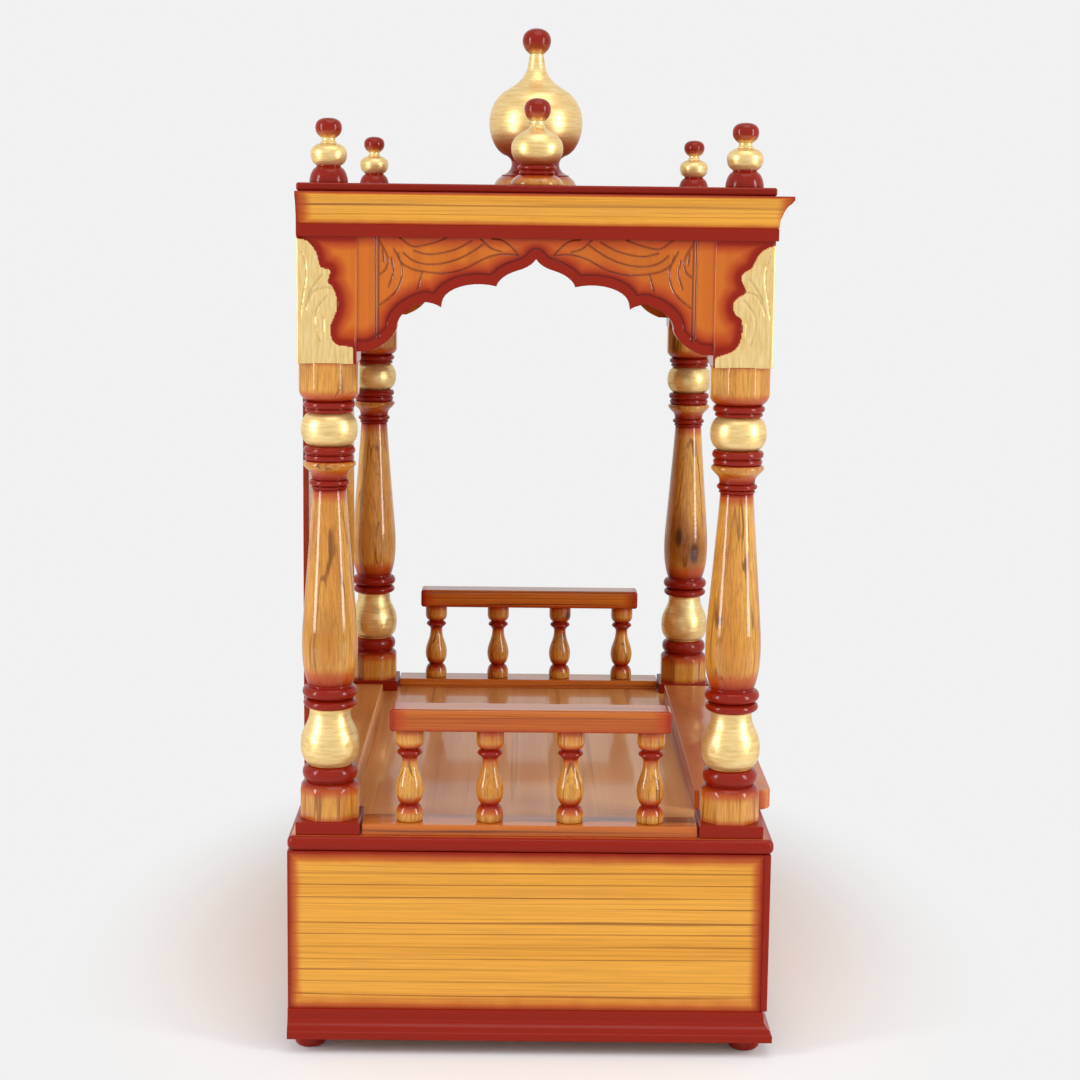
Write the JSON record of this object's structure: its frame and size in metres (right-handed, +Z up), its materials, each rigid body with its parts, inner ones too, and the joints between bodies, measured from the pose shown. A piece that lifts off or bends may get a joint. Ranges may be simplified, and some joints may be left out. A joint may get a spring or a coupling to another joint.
{
  "type": "wooden pooja mandir",
  "caption": "Wooden home shrine with turned columns, side balustrades, cusped arches, a cove cornice and a flat roof with finials and an onion dome.",
  "frame": {"origin": "on the floor, below the centre of the overall box", "axes": "+X to the right seen from the front, -Y towards the front, +Z up"},
  "size_m": [0.468, 0.307, 0.6455],
  "materials": {
    "honey_wood": "honey lacquered wood, shaded red at its edges, satin gloss",
    "turned_wood": "turned knotty wood with clear gloss lacquer, red at its beads",
    "rail_wood": "orange-brown gloss lacquer over straight grain",
    "floor_wood": "brown gloss lacquer over straight grain",
    "plain_wood": "plain unlacquered board",
    "red_lacquer": "dark red gloss lacquer on wood",
    "dark_lacquer": "dark red-brown gloss lacquer on wood",
    "gold_paint": "satin gold paint on turned wood, with dark red lacquered ends"
  },
  "bodies": {
    "root": {"foot_front_left": "dark_lacquer", "foot_front_right": "dark_lacquer", "foot_back_left": "dark_lacquer", "foot_back_right": "dark_lacquer", "base_left_panel": "honey_wood", "base_right_panel": "honey_wood", "base_front_panel": "honey_wood", "base_back_panel": "honey_wood", "base_bottom": "plain_wood", "base_facing": "honey_wood", "plinth_left": "red_lacquer", "plinth_right": "red_lacquer", "plinth_front": "red_lacquer", "deck_board": "floor_wood", "back_ledge": "floor_wood", "front_step": "floor_wood", "column_pads": "red_lacquer", "column_front_left": "turned_wood", "column_front_right": "turned_wood", "column_back_left": "turned_wood", "column_back_right": "turned_wood", "sill_left": "honey_wood", "sill_right": "honey_wood", "balusters_left": "turned_wood", "balusters_right": "turned_wood", "handrail_left": "rail_wood", "handrail_right": "rail_wood", "corner_block_front_left": "honey_wood", "corner_block_front_right": "honey_wood", "corner_block_back_left": "honey_wood", "corner_block_back_right": "honey_wood", "arch_left": "honey_wood", "arch_right": "honey_wood", "arch_front": "honey_wood", "back_board": "honey_wood", "cornice_left": "honey_wood", "cornice_right": "honey_wood", "cornice_front": "honey_wood", "roof_board": "dark_lacquer", "finial_front_left": "gold_paint", "finial_front_right": "gold_paint", "finial_back_left": "gold_paint", "finial_back_right": "gold_paint", "side_dome_left": "gold_paint", "side_dome_right": "gold_paint", "central_dome": "gold_paint"}
  },
  "joints": []
}
